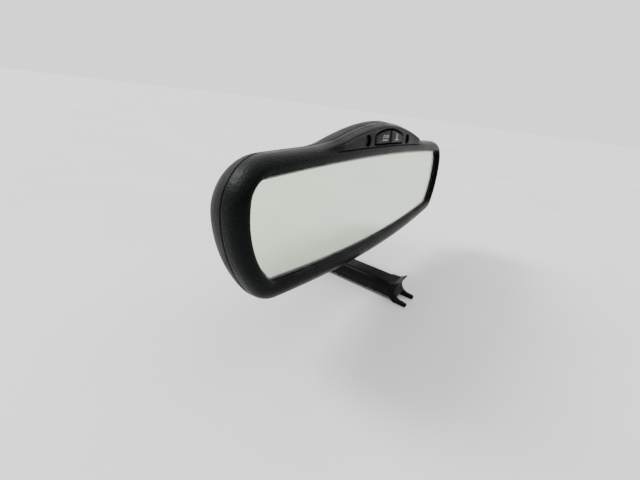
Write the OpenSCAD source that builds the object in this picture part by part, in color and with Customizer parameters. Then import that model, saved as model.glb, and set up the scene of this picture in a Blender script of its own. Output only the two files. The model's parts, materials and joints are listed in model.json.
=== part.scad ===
// Interior rearview mirror: a self-dimming head on a double-ball stem, with a windshield shoe and
// a channel that covers the wiring. Millimetres. The origin is the centre of the shoe's windshield
// face, +Z points away from the windshield, -Y runs along it towards the roof lining, and the
// mirror head faces -Y. Head parts are drawn in the head frame: origin at the centre of the
// glass's front face, x to the right, y into the housing, z up.

/* [Head] */
// Half width of the glass at its widest
glass_half_w = 121; // [116:1:126]
// Top of the glass above its centre
glass_top = 26.4; // [24:0.2:28]
// Bottom of the glass below its centre
glass_bottom = 29.6; // [27:0.2:31]
// Rim width above the glass
rim = 8.5; // [8.3:0.1:9]
// Rim width beyond the ends of the glass
rim_side = 6.8; // [6.4:0.1:7.4]
// Rim width below the glass
rim_bottom = 11.5; // [10.5:0.1:12]
// Height that the hump adds above the rim
hump_h = 12.7; // [11.5:0.1:13.5]
// Depth of the rear housing behind the parting line
housing_depth = 25.5; // [24:0.5:28]
// Lean of the head from the windshield's normal plane, in degrees
head_lean = 5.5; // [0:0.5:8]

/* [Buttons] */
// Travel of a push button
button_travel = 0.8; // [0.4:0.1:1]
// Gap round each button
button_gap = 0.5; // [0.4:0.05:0.7]

/* [Stem] */
// Distance between the two ball centres
stem_length = 52; // [48:1:60]
// Slope of the stem above the windshield face, in degrees
stem_slope = 38; // [34:1:42]
// Radius of both balls
ball_r = 8; // [7.5:0.1:8.2]
// Outer radius of the stem tube
tube_r = 10.2; // [10.1:0.1:11]

/* [Mount] */
// Width of the windshield shoe
shoe_w = 24; // [22:1:28]
// Height of the windshield shoe's block
shoe_h = 12; // [11:0.5:14]
// Width of the wiring cover
cover_w = 16; // [15:0.5:18]
// Height of the wiring cover
cover_h = 10.6; // [9:0.2:12]

/* [Hidden] */
$fn = 64;

black = [0.07, 0.07, 0.075];
steel = [0.6, 0.61, 0.63];
zinc = [0.16, 0.16, 0.17];
nylon = [0.85, 0.84, 0.78];

// Places worked out in the row frame
head_ball_local = [0, 40, -10];
wind_clear = 2.8;                                // underside of the wiring cover above the windshield
glass_z = 71.8;                                  // centre of the glass above the windshield
stem_end_y = -4;                                 // y of the base ball's centre
lean_c = cos(head_lean);
lean_s = sin(head_lean);
head_ball_z = glass_z - head_ball_local.y * lean_s + head_ball_local.z * lean_c;
head_ball_y = stem_end_y - stem_length * cos(stem_slope);
glass_y = head_ball_y - head_ball_local.y * lean_c - head_ball_local.z * lean_s;
base_ball_z = head_ball_z - stem_length * sin(stem_slope);
head_ball = [0, head_ball_y, head_ball_z];
base_ball = [0, stem_end_y, base_ball_z];

// Places a head part, drawn in the head frame, in the row frame
module in_head() translate([0, glass_y, glass_z]) rotate([-head_lean, 0, 0]) children();
// Stem parts are drawn with the head ball at the origin and the base ball up the z axis
module in_stem() translate(head_ball) rotate([-90 - stem_slope, 0, 0]) children();
// The same at the base ball, with z towards the head ball
module in_stem_end() translate(base_ball) rotate([90 - stem_slope, 0, 0]) children();
// Extrudes a head-frame x-z outline from y0 back to y1
module slab(y0, y1) translate([0, y1, 0]) rotate([90, 0, 0]) linear_extrude(y1 - y0) children();
// A round bar in the head frame along y
module bar(x, z, y0, y1, r) translate([x, y1, z]) rotate([90, 0, 0]) cylinder(h = y1 - y0, r = r);

/* ---- Outlines: a crowned top, bowed ends, a crowned bottom and four corners ---- */
// Where circles round a and b meet; side picks one of the two points
function meet(a, ra, b, rb, side) =
    let (d = norm(b - a), u = (b - a) / d, t = (d * d + ra * ra - rb * rb) / (2 * d))
    a + u * t + side * sqrt(ra * ra - t * t) * [-u.y, u.x];
function bearing(a, b) = atan2(b.y - a.y, b.x - a.x);
// Points of an arc with their outward normals, from angle a0 up to but not including a1
function arc(c, r, a0, a1, n) =
    [for (i = [0:n - 1]) let (a = a0 + (a1 - a0) * i / n) [c + r * [cos(a), sin(a)], [cos(a), sin(a)]]];
// An outline from its top, bottom and half width, the arcs' radii and the height of the ends' centre
function outline_of(top, bottom, half_w, top_r, bottom_r, end_r, end_z, corner_top, corner_bottom) =
    let (top_c = [0, top - top_r],
        end_c = [half_w - end_r, end_z],
        bottom_c = [0, bottom_r - bottom],
        upper_c = meet(top_c, top_r - corner_top, end_c, end_r - corner_top, -1),
        lower_c = meet(bottom_c, bottom_r - corner_bottom, end_c, end_r - corner_bottom, 1),
        a1 = bearing(top_c, upper_c),
        a2 = bearing(end_c, upper_c),
        a3 = bearing(end_c, lower_c),
        a4 = bearing(bottom_c, lower_c),
        half = concat(
            arc(top_c, top_r, 90, a1, 16),
            arc(upper_c, corner_top, a1, a2, 5),
            arc(end_c, end_r, a2, a3, 6),
            arc(lower_c, corner_bottom, a3, a4, 4),
            arc(bottom_c, bottom_r, a4, -90, 8)))
    concat(half, [[[0, -bottom], [0, -1]]],
        [for (i = [len(half) - 1:-1:1]) [for (v = half[i]) [-v.x, v.y]]]);
glass_outline = outline_of(glass_top, glass_bottom, glass_half_w, 2100, 950, 43, 6.4, 9, 5);
head_half_w = glass_half_w + rim_side;
head_outline = outline_of(glass_top + rim, glass_bottom + rim_bottom, head_half_w, 2108, 800, 61, 7, 24, 15);
// The glass's outline grown by d
function outline_at(d) = [for (p = glass_outline) p[0] + d * p[1]];
// The outline at offset d of the way from the glass's edge, at 0, to the head's, at rim
function outline_between(d) = let (f = d / rim)
    [for (i = [0:len(glass_outline) - 1]) glass_outline[i][0] * (1 - f) + head_outline[i][0] * f];

/* ---- The hump over the middle of the top rim ---- */
hump_foot = 66;     // where the hump's arc would reach the rim
hump_blend = 57;    // where the blend into the rim starts
hump_end = 76;      // where the blend ends
hump_power = 1.8;
blend_rise = hump_h * (1 - pow(hump_blend / hump_foot, hump_power)) / pow(hump_end - hump_blend, 2);
function hump_lift(x) =
    abs(x) < hump_blend ? hump_h * (1 - pow(abs(x) / hump_foot, hump_power)) :
    abs(x) < hump_end ? blend_rise * pow(hump_end - abs(x), 2) : 0;
function on_hump(x) = min(1, hump_lift(x) / 3.5);

// One ring of a shell in the head frame. d is the offset from the glass edge, lift the share of the
// hump that the ring takes, y its depth along the rim and y_hump its depth on the hump.
function ring(d, y, lift, y_hump) = let (line = outline_between(d))
    [for (i = [0:len(line) - 1])
        let (q = line[i], top = glass_outline[i][1].y > 0.5 ? 1 : 0, k = top * on_hump(q.x))
        [q.x, y + (y_hump - y) * k, q.y + top * lift * hump_lift(q.x)]];

// One ring of the pocket that holds the glass, at a constant offset from its edge
function pocket_ring(d, y) = [for (p = outline_at(d)) [p.x, y, p.y]];
// A closed shell through rings that run round and back to the first
module ring_shell(rings) {
    m = len(rings);
    n = len(rings[0]);
    function at(i, j) = (i % m) * n + j % n;
    polyhedron(points = [for (r = rings) each r],
        faces = [for (i = [0:m - 1], j = [0:n - 1], h = [0, 1])
            h == 0 ? [at(i, j), at(i + 1, j), at(i + 1, j + 1)] : [at(i, j), at(i + 1, j + 1), at(i, j + 1)]],
        convexity = 12);
}

/* ---- Button outlines in the head frame ---- */
button_in = 0.35;       // from the middle of the panel to a button's inner side
button_half = 20.8;
button_low = 33.2;
button_side_top = 38.2;
button_mid_top = 42;
flange_out = button_half + 0.8;     // outer side of the flange that keeps a button behind the panel
flange_y = -0.5;        // where the flange starts
flange_back = 0.7;
// The arched panel that both buttons fill, grown by g; right-hand half if s is 1, left if -1
module button_outline(s, g) {
    inner = button_in - g;
    outer = button_half + g;
    rise = button_mid_top - button_side_top;
    steps = 8;
    foot = [[s * inner, button_low - g], [s * outer, button_low - g], [s * outer, button_side_top + g]];
    polygon(concat(foot,
        [for (i = [1:steps]) let (x = outer + (inner - outer) * i / steps)
            [s * x, button_side_top + g + rise * (1 - pow(x / outer, 2))]]));
}
lens_x = 30;
lens_z = 35.6;
lens_hole_r = 3.1;
switch_x = 10;
switch_z = 37.2;

/* ---- Head: shells ---- */
parting_y = 7.4;    // plane where the bezel meets the rear housing
parting_hump_y = 3;     // and where it meets it on the hump
parting_lift = 0.88;    // share of the hump's height there
wall = 2.1;
module front_bezel() color(black) in_head() difference() {
    ring_shell([
        ring(0, 0, 0, 0), ring(0.1, -1, 0, -1), ring(1.2, -2.4, 0, -2.4), ring(2.9, -3.1, 0, -3.1),
        ring(4.6, -2.7, 0, -2.7), ring(5.2, -2.3, 0, -2.3), ring(5.9, -1.9, 0.06, -2.8),
        ring(6.7, -1.1, 0.77, -2.8), ring(7.5, 0.1, 0.86, -1.6), ring(8.1, 1.7, 0.88, 0.2),
        ring(rim, 4.2, parting_lift, 1.7), ring(rim, parting_y, parting_lift, parting_hump_y),
        ring(rim - wall, parting_y, parting_lift, parting_hump_y), ring(6.3, 3.6, 0.86, 1.4),
        ring(5.7, 1.4, 0.84, 0.2), ring(5, 0.4, 0.8, -0.6), ring(4.4, -0.3, 0, -0.6), pocket_ring(2.3, -0.5),
        pocket_ring(2.3, seat_lip_y), pocket_ring(1.5, seat_lip_y), pocket_ring(1.5, 0)]);
    for (s = [-1, 1]) {
        slab(-6, 3) button_outline(s, button_gap);
        bar(s * lens_x, lens_z, -6, 3, lens_hole_r);
    }
}

socket_x = -31;
socket_z = 6;
socket_w = 18;
socket_t = 9;
ambient_x = 31;
ambient_r = 3;
pivot_hole_r = 14.5;
pivot_screw_x = 19;
pivot_screw_z = 6.5;
back = parting_y + housing_depth;
back_mid_z = -2.4;      // height of the ridge along the housing's back
back_half_h = 37.5;
back_slit = 35.6;       // inset of the last ring, which a strip closes
// A ring of the rear housing: the outer outline drawn in by inset towards the ridge on the back
function back_ring(y, inset, lift, y_hump) =
    let (outer = ring(rim, y, lift, y_hump))
    [for (p = outer)
        [p.x * (1 - inset / head_half_w), p.y, back_mid_z + (p.z - back_mid_z) * (1 - inset / back_half_h)]];
module pivot_screw_places() for (sx = [-1, 1], sz = [-1, 1])
    translate([sx * pivot_screw_x, 0, head_ball_local.z + sz * pivot_screw_z]) children();
module rear_housing() color(black) in_head() difference() {
    union() {
        ring_shell([
            back_ring(parting_y, 0, parting_lift, parting_hump_y), back_ring(9.4, 0.2, 0.96, 5.8),
            back_ring(12, 0.7, 1, 10), back_ring(15.2, 1.8, 0.97, 14.4), back_ring(18.4, 3.6, 0.87, 18.2),
            back_ring(21.7, 6.6, 0.7, 21.7), back_ring(25, 12, 0.45, 25), back_ring(28, 18.5, 0.2, 28),
            back_ring(30.4, 26, 0, 30.4), back_ring(back, 32, 0, back), back_ring(back, back_slit, 0, back),
            back_ring(back - wall, back_slit, 0, back - wall), back_ring(back - wall, 31, 0, back - wall),
            back_ring(28.2, 25, 0, 28.2), back_ring(25.8, 18.5, 0.2, 25.8), back_ring(23, 13, 0.45, 23),
            back_ring(20, 8.4, 0.7, 20), back_ring(17.2, 5.6, 0.87, 16.8), back_ring(14.4, 3.7, 0.97, 13.4),
            back_ring(11.8, 2.6, 1, 9.6), back_ring(9.4, 2.2, 0.96, 6.4),
            back_ring(parting_y, wall, parting_lift, parting_hump_y)]);
        slab(back - wall, back) translate([0, back_mid_z]) square([2 * head_half_w - 68, 4], center = true);
        for (s = [-1, 1]) {
            bar(s * pivot_screw_x, head_ball_local.z + pivot_screw_z, plate_back, 31.6, 3.4);
            bar(s * pivot_screw_x, head_ball_local.z - pivot_screw_z, plate_back, 28.6, 3.4);
        }
    }
    pivot_screw_places() bar(0, 0, 20, 26.6, 1.25);
    bar(0, head_ball_local.z, 20, 40, pivot_hole_r);
    slab(20, 40) translate([socket_x, socket_z]) square([socket_w + 0.6, socket_t + 0.6], center = true);
    bar(ambient_x, socket_z, 20, 40, ambient_r + 0.2);
}

/* ---- Head: mirror cell ---- */
front_glass_y = 1.6;
cell_gap = 0.3;
rear_glass_y = front_glass_y + cell_gap;
foam_y = rear_glass_y + 1.6;
carrier_y = foam_y + 1.1;
carrier_back = carrier_y + 1.5;
seat_lip_y = carrier_y;     // the bezel's lip round the cell ends on the carrier plate
module front_glass() color([0.75, 0.8, 0.77]) in_head() slab(0, front_glass_y) polygon(outline_at(1.2));
module cell_seal() color([0.2, 0.2, 0.2]) in_head() slab(front_glass_y, rear_glass_y) difference() {
    polygon(outline_at(0.4));
    polygon(outline_at(-1.2));
}
module reflector_glass() color([0.8, 0.83, 0.82]) in_head()
    slab(rear_glass_y, foam_y) polygon(outline_at(0.7));
// A spring-steel strip along one long edge of the cell, which feeds it current
module bus_clip(z, s) color(steel) in_head() {
    slab(foam_y, foam_y + 0.3) translate([0, z - s * 2.2]) square([150, 4], center = true);
    for (x = [-60:30:60])
        slab(foam_y + 0.3, foam_y + 1) translate([x, z - s * 2.2]) square([6, 2.4], center = true);
}
module bus_clip_top() bus_clip(24.6, 1);
module bus_clip_bottom() bus_clip(-25.6, -1);
module foam_pad() color([0.25, 0.25, 0.26]) in_head()
    slab(foam_y, carrier_y) square([206, 38], center = true);

post_x = 43;
post_z = [3, 22];
module carrier_plate() color([0.12, 0.12, 0.13]) in_head() difference() {
    union() {
        slab(carrier_y, carrier_back) polygon(outline_at(2.6));
        for (s = [-1, 1], z = post_z) bar(s * post_x, z, carrier_back, board_y, 2.6);
        for (x = [-90, -65, 65, 90]) slab(carrier_back, carrier_back + 3)
            translate([x, -1]) square([1.4, 38], center = true);
    }
    for (s = [-1, 1], z = post_z) bar(s * post_x, z, carrier_back - 1, board_y + 1, 0.9);
}

/* ---- Head: electronics ---- */
board_y = 9;
board_t = 1.6;
board_back = board_y + board_t;
module circuit_board() color([0.05, 0.3, 0.14]) in_head() difference() {
    slab(board_y, board_back)
        polygon([[-46, -3], [46, -3], [46, 28], [34, 37], [20, 41.5], [-20, 41.5], [-34, 37], [-46, 28]]);
    for (s = [-1, 1], z = post_z) bar(s * post_x, z, board_y - 1, board_back + 1, 1.1);
}
module board_components() color([0.09, 0.09, 0.1]) in_head() {
    slab(board_back, board_back + 2) translate([4, 18]) square([12, 12], center = true);
    slab(board_back, board_back + 1.5) translate([22, 24]) square([6, 5], center = true);
    slab(board_back, board_back + 1.5) translate([-12, 28]) square([6, 5], center = true);
    for (x = [16, 24]) bar(x, 6, board_back, board_back + 7, 3);
    for (x = [-10:4:2]) slab(board_back, board_back + 0.8) translate([x, 34]) square([2, 1.2], center = true);
}
plunger_r = 1.7;
plunger_front = 4.4;
plunger_back = 6.8;
switch_front = 5.6;
switch_floor = plunger_back + button_travel + 0.2;      // end of the switch's recess
module switch_bodies() color([0.14, 0.14, 0.15]) in_head() for (s = [-1, 1]) difference() {
    slab(switch_front, board_y) translate([s * switch_x, switch_z]) square([6.2, 6.2], center = true);
    bar(s * switch_x, switch_z, switch_front - 1, switch_floor, plunger_r + 0.06);
}
module plunger(s) color([0.8, 0.78, 0.7]) in_head()
    bar(s * switch_x, switch_z, plunger_front, plunger_back, plunger_r);
module left_plunger() plunger(-1);
module right_plunger() plunger(1);
module push_button(s) color([0.12, 0.12, 0.125]) in_head() {
    slab(-3.1, flange_y) button_outline(s, 0);
    slab(flange_y, flange_back) translate([s * (button_in + flange_out) / 2, 36])
        square([flange_out - button_in, 7.4], center = true);
    bar(s * switch_x, switch_z, flange_back, plunger_front, 2.4);
}
module left_button() push_button(-1);
module right_button() push_button(1);
// A round window that sits in its hole behind the panel's face, with a flange behind the panel
module panel_lens(x) in_head() {
    bar(x, lens_z, -1.5, -0.6, lens_hole_r - 0.1);
    bar(x, lens_z, -0.6, 0.5, 3.5);
}
module glare_sensor_lens() color([0.1, 0.05, 0.05]) panel_lens(-lens_x);
module indicator_lens() color([0.1, 0.25, 0.12]) panel_lens(lens_x);
module glare_photocell() color([0.2, 0.1, 0.1]) in_head() {
    bar(-lens_x, lens_z, 5, board_y, 2);
    bar(-lens_x, lens_z, 7.8, board_y, 2.5);
}
module indicator_led() color([0.3, 0.7, 0.35]) in_head() {
    bar(lens_x, lens_z, 3, board_y, 1.5);
    bar(lens_x, lens_z, 7.8, board_y, 1.9);
}
module ambient_lens() color([0.15, 0.15, 0.17]) in_head() {
    bar(ambient_x, socket_z, 15.5, back + 0.3, ambient_r);
    bar(ambient_x, socket_z, 26.2, 27.6, ambient_r + 1.2);
}
module ambient_photocell() color([0.2, 0.1, 0.1]) in_head() bar(ambient_x, socket_z, board_back, 15.3, 2);
socket_floor = 22;
module harness_socket() color([0.1, 0.1, 0.11]) in_head() difference() {
    slab(board_back, back + 0.4) translate([socket_x, socket_z]) square([socket_w, socket_t], center = true);
    slab(socket_floor, back + 1) translate([socket_x, socket_z])
        square([socket_w - 2.6, socket_t - 2.6], center = true);
}
module socket_pins() color([0.83, 0.7, 0.35]) in_head() for (i = [-3:3])
    slab(socket_floor, socket_floor + 4.5) translate([socket_x + i * 2, socket_z]) square(0.7, center = true);
// A pan-head screw along -y: head from y0 to y0 + 1.6, shank on to y1
module screw(x, z, y0, y1, head_r, r) {
    difference() {
        bar(x, z, y0, y0 + 1.6, head_r);
        for (a = [0, 90])
            translate([x, y0, z]) rotate([0, a, 0]) cube([head_r * 1.3, 1.4, 0.6], center = true);
    }
    bar(x, z, y0 + 1.6, y1, r);
}
module board_screws() color(steel) in_head() for (s = [-1, 1], z = post_z)
    translate([0, 2 * board_back, 0]) mirror([0, 1, 0])
        screw(s * post_x, z, board_back - 1.6, 2 * board_back - carrier_back + 0.4, 2, 0.85);

/* ---- Head: pivot ---- */
plate_y = 22.4;
plate_back = 24;
neck_r = 2.9;
stud_lean = 36;             // the ball stud leans down from the plate's normal
// The stud's own frame: its axis from the ball's centre down to the plate
module in_stud() translate(head_ball_local) rotate([90 - stud_lean, 0, 0]) children();
plate_gap = (head_ball_local.y - plate_back) / cos(stud_lean);
module pivot_plate() color(steel) in_head() difference() {
    slab(plate_y, plate_back) translate([0, head_ball_local.z + 1]) union() {
        square([44, 21], center = true);
        for (s = [-1, 1]) translate([s * 22, -1]) square([4, 12], center = true);
    }
    pivot_screw_places() bar(0, 0, 20, 26, 1.7);
    in_stud() cylinder(h = 40, r = neck_r + 0.05);
}
module pivot_screws() color(steel) in_head() pivot_screw_places() screw(0, 0, plate_y - 1.6, 26.4, 2.8, 1.2);
module head_ball_stud() color(steel) in_head() {
    translate(head_ball_local) sphere(r = ball_r);
    difference() {
        in_stud() {
            translate([0, 0, 4]) cylinder(h = plate_gap, r = neck_r);
            translate([0, 0, plate_gap - 5.2]) cylinder(h = 12, r = 5);
        }
        slab(-10, plate_back) translate([0, 0]) square(60, center = true);
    }
    intersection() {
        in_stud() cylinder(h = plate_gap + 6, r = neck_r);
        slab(plate_y - 1, plate_back + 1) square(60, center = true);
    }
}

/* ---- Stem ---- */
seat_in = ball_r + 0.05;        // inner radius of the seats, which slide on the ball
seat_out = ball_r + 1.05;       // their outer radius, which slides in the tube
socket_r = seat_out + 0.07;     // spherical end of the tube
mouth = 4.6;                    // depth of the tube's mouth beyond the ball's centre
bore_r = 6.5;
// A band of spherical shell between two heights above its centre
module seat_band(z0, z1) difference() {
    intersection() {
        sphere(r = seat_out);
        translate([0, 0, z0]) cylinder(h = z1 - z0, r = 2 * seat_out);
    }
    sphere(r = seat_in);
}
module head_seat_ring() color(nylon) in_stem() seat_band(-mouth, 0.9);
module head_seat_cup() color(nylon) in_stem() seat_band(6.6, seat_out + 1);
module base_seat_ring() color(nylon) in_stem_end() seat_band(-mouth, 0.9);
module base_seat_cup() color(nylon) in_stem_end() seat_band(6.6, seat_out + 1);
module stem_tube() color(black) in_stem() difference() {
    rotate_extrude() difference() {
        union() {
            translate([0, 1 - mouth]) square([tube_r, stem_length + 2 * mouth - 2]);
            translate([0, -mouth]) square([tube_r - 1, stem_length + 2 * mouth]);
            for (z = [1 - mouth, stem_length + mouth - 1]) translate([tube_r - 1, z]) circle(r = 1);
        }
        translate([tube_r + 5.2, stem_length / 2]) circle(r = 6.5);
        translate([-tube_r, -mouth - 1]) square([tube_r, stem_length + 2 * mouth + 2]);
    }
    for (z = [0, stem_length]) translate([0, 0, z]) sphere(r = socket_r);
    cylinder(h = stem_length, r = bore_r);
}

// A round wire wound as a helix up the z axis: radius, wire radius, height, turns
module coil(r, w, h, turns) {
    sides = 8;
    per_turn = 16;
    steps = turns * per_turn;
    points = [for (i = [0:steps], j = [0:sides - 1])
        let (a = 360 * i / per_turn, b = 360 * j / sides, q = r + w * cos(b))
        [q * cos(a), q * sin(a), h * i / steps + w * sin(b)]];
    walls = [for (i = [0:steps - 1], j = [0:sides - 1], k = [0, 1])
        let (p = i * sides + j, q = i * sides + (j + 1) % sides)
        k == 0 ? [p, p + sides, q + sides] : [p, q + sides, q]];
    polyhedron(points = points, convexity = 20, faces = concat(walls,
        [[for (j = [0:sides - 1]) j], [for (j = [sides - 1:-1:0]) steps * sides + j]]));
}
spring_start = 8.95;
module stem_spring() color(steel) in_stem() translate([0, 0, spring_start])
    coil(4.2, 0.6, stem_length - 2 * spring_start, 9);

/* ---- Mount ---- */
shoe_front = -15;
shoe_back = 19;
boss_start = 10.2;              // from the base ball's centre down to the boss's face
tongue_front = -27;
button_slot_w = 13.4;           // dovetail slot for the windshield button: width at the face
button_slot_deep_w = 16.6;      // and at its floor
slot_depth = 5;
slot_front = -9;
set_screw_z = 3;
module base_ball_stud() color(steel) in_stem_end() {
    sphere(r = ball_r);
    translate([0, 0, -boss_start - 6]) cylinder(h = boss_start, r = 3.2);
}
module mount_shoe() color(zinc) difference() {
    union() {
        translate([-shoe_w / 2, 0, 0]) rotate([90, 0, 90]) linear_extrude(shoe_w)
            polygon([[shoe_front, 0], [shoe_back, 0], [shoe_back, shoe_h - 3], [shoe_back - 3, shoe_h],
                [shoe_front + 5, shoe_h], [shoe_front, shoe_h - 4]]);
        intersection() {
            in_stem_end() translate([0, 0, -boss_start - 30]) cylinder(h = 30, r = 7.2);
            translate([-20, -30, 6]) cube([40, shoe_back + 30, 60]);
        }
        translate([-5, tongue_front, wind_clear + 1])
            cube([10, shoe_front + 5 - tongue_front, cover_h - cover_wall - 1]);
    }
    in_stem_end() translate([0, 0, -boss_start - 6.1]) cylinder(h = 20, r = 3.25);
    translate([0, slot_front, 0]) rotate([-90, 0, 0]) linear_extrude(60)
        polygon([[-button_slot_w / 2, 1], [button_slot_w / 2, 1], [button_slot_w / 2, 0],
            [button_slot_deep_w / 2, -slot_depth], [-button_slot_deep_w / 2, -slot_depth],
            [-button_slot_w / 2, 0]]);
    translate([6, 0, set_screw_z]) rotate([0, 90, 0]) cylinder(h = 30, r = 1.65);
    translate([0, cover_screw_y, 0]) cylinder(h = 20, r = 1.2);
    translate([-13, shoe_front - 1, -1]) cube([2, 60, 2]);
    translate([11, shoe_front - 1, -1]) cube([2, 60, 2]);
}
module set_screw() color(steel) difference() {
    translate([7.9, 0, set_screw_z]) rotate([0, 90, 0]) cylinder(h = 3.7, r = 1.6);
    translate([10, 0, set_screw_z]) rotate([0, 90, 0]) cylinder(h = 3, r = 0.9, $fn = 6);
}

/* ---- Wiring cover: a channel with a forked end ---- */
cover_top = wind_clear + cover_h;
cover_back = shoe_front - 0.3;
cover_front = -107;             // where the channel ends and the fork's cheeks start
cover_wall = 1.6;
cover_round = 2.8;
cover_in_round = cover_round - cover_wall;
cover_screw_y = -21;
hollow_c = [-118.2, 9.6];       // centre of the fork's hollow
hollow_r = 6.6;
end_wall_low = 4.4;             // lower edge of the wall between the cheeks
// A channel's section, rounded at the top: width w, height h, corner radius r
module channel_section(w, h, r) {
    translate([-w / 2, 0]) square([w, h - r]);
    translate([r - w / 2, 0]) square([w - 2 * r, h]);
    for (s = [-1, 1]) translate([s * (w / 2 - r), h - r]) circle(r = r);
}
// One cheek of the fork in the y-z plane: an ear above, a hollow, and a prong below
module cheek() difference() {
    polygon([[cover_front + 4, wind_clear], [cover_front + 4, cover_top - 0.4], [-109, cover_top - 0.1],
        [-111.5, cover_top + 1.2], [-113.6, cover_top + 3], [-114, cover_top + 2.2], [-112, 7.5],
        [-113.4, 3.2], [-121.4, 2.6], [-122.2, 1.9], [-122.2, 0.7], [-121.4, 0], [-112.6, 0],
        [-108.6, wind_clear]]);
    translate(hollow_c) circle(r = hollow_r);
}
// The wall between the cheeks: it closes the channel and follows the hollow from the ears down
module end_wall() intersection() {
    cheek();
    union() {
        translate(hollow_c) circle(r = hollow_r + cover_wall);
        translate([-114, cover_top - cover_wall]) square([12, 6]);
    }
    translate([-125, end_wall_low]) square([30, 20]);
}
module wiring_cover() color(black) {
    difference() {
        union() {
            translate([0, cover_back, wind_clear]) rotate([90, 0, 0]) linear_extrude(cover_back - cover_front)
                difference() {
                    channel_section(cover_w, cover_h, cover_round);
                    translate([0, -1])
                        channel_section(cover_w - 2 * cover_wall, cover_h - cover_wall + 1, cover_in_round);
                }
            for (s = [-1, 1]) translate([s * (cover_w / 2 - 1), 0, 0])
                rotate([90, 0, 90]) linear_extrude(2, center = true) cheek();
            rotate([90, 0, 90]) linear_extrude(cover_w - 3, center = true) end_wall();
        }
        translate([0, cover_screw_y, 0]) cylinder(h = 40, r = 1.5);
        translate([0, cover_screw_y, cover_top - 0.8]) cylinder(h = 5, r = 2.7);
    }
}
module cover_screw() color(steel) translate([0, cover_screw_y, 0]) difference() {
    union() {
        translate([0, 0, 4.4]) cylinder(h = cover_top - 0.8 - 4.4, r = 1.15);
        translate([0, 0, cover_top - 0.8]) cylinder(h = 1.2, r = 2.5);
    }
    for (a = [0, 90])
        translate([0, 0, cover_top + 0.4]) rotate([0, 0, a]) cube([3.2, 0.6, 1.2], center = true);
}

front_bezel();
rear_housing();
front_glass();
reflector_glass();
cell_seal();
bus_clip_top();
bus_clip_bottom();
foam_pad();
carrier_plate();
circuit_board();
board_components();
switch_bodies();
left_button();
left_plunger();
right_button();
right_plunger();
glare_sensor_lens();
glare_photocell();
indicator_lens();
indicator_led();
ambient_lens();
ambient_photocell();
harness_socket();
socket_pins();
board_screws();
pivot_plate();
pivot_screws();
head_ball_stud();
head_seat_ring();
head_seat_cup();
stem_tube();
stem_spring();
base_seat_cup();
base_seat_ring();
base_ball_stud();
mount_shoe();
set_screw();
wiring_cover();
cover_screw();
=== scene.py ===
"""Looks of the interior rearview mirror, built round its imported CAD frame.

Lengths are in millimetres until a mesh is made, and then in metres in the row frame. Parts of the
head are drawn in the head frame: origin at the centre of the glass, x right, y into the housing, z up.
"""
import json
import math
import bpy
import bmesh
import numpy as np
from mathutils import Matrix, Vector


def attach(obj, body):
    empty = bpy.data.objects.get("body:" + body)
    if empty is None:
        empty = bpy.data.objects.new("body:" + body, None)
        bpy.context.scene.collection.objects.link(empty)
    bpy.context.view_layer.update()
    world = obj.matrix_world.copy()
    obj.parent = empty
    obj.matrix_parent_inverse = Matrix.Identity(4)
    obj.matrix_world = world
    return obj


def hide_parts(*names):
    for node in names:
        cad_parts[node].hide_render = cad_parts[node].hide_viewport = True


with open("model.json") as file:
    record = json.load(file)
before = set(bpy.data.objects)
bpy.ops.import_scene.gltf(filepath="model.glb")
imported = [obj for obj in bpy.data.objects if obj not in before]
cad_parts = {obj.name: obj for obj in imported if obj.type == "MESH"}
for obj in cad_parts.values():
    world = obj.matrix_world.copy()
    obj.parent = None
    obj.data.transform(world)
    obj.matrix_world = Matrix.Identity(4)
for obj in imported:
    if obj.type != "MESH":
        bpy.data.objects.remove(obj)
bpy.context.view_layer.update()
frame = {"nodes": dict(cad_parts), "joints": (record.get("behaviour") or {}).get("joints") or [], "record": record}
NODES = frame["nodes"]
MM = 0.001

# ---------------------------------------------------------------- frames
JOINTS = {j["name"]: j for j in frame["joints"]}
HEAD_BALL = np.array(JOINTS["head_tilt"]["pos_m"]) / MM
BASE_BALL = np.array(JOINTS["base_tilt"]["pos_m"]) / MM
HEAD_Y = np.array(JOINTS["head_roll"]["axis"], float)
HEAD_Y /= np.linalg.norm(HEAD_Y)
HEAD_X = np.array([1.0, 0.0, 0.0])
HEAD_Z = np.cross(HEAD_X, HEAD_Y)
BALL_IN_HEAD = np.array([0.0, 40.0, -10.0])
HEAD_ORIGIN = HEAD_BALL - BALL_IN_HEAD[1] * HEAD_Y - BALL_IN_HEAD[2] * HEAD_Z
HEAD = (HEAD_ORIGIN, HEAD_X, HEAD_Y, HEAD_Z)
ROW = (np.zeros(3), HEAD_X, np.array([0.0, 1.0, 0.0]), np.array([0.0, 0.0, 1.0]))
STEM_Z = (BASE_BALL - HEAD_BALL) / np.linalg.norm(BASE_BALL - HEAD_BALL)
STEM = (HEAD_BALL, HEAD_X, np.cross(STEM_Z, HEAD_X), STEM_Z)
STEM_LENGTH = float(np.linalg.norm(BASE_BALL - HEAD_BALL))


def place(points, axes):
    """Points drawn in a frame of axes, in mm, as row-frame metres."""
    p = np.asarray(points, float).reshape(-1, 3)
    o, x, y, z = axes
    return (o + p[:, :1] * x + p[:, 1:2] * y + p[:, 2:] * z) * MM


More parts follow.
